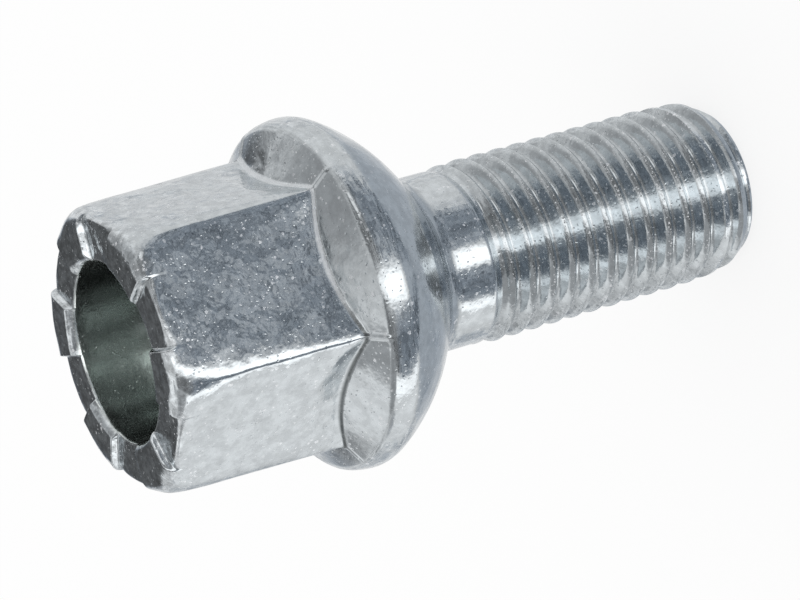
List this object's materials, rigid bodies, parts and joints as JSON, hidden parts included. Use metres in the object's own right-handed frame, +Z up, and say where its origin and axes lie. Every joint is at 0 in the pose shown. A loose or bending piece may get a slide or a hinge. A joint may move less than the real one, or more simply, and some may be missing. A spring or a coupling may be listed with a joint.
{
  "type": "wheel bolt",
  "caption": "Steel wheel bolt with a hollow hexagon head notched at the crown, a round collar with a ball seat underneath, a short plain neck and a chamfered threaded shank.",
  "frame": {"origin": "centre of the flat end face of the thread, on which the bolt stands", "axes": "+Z up the bolt's axis, from the thread to the crown of the head; one corner of the hexagon points along +X and one flat faces -Y, the front"},
  "size_m": [0.023, 0.023, 0.0448],
  "materials": {
    "zinc_steel": "bright zinc plate over forged steel, slightly blue, lightly pitted and scored"
  },
  "bodies": {
    "root": {"wheel_bolt": "zinc_steel"}
  },
  "joints": []
}
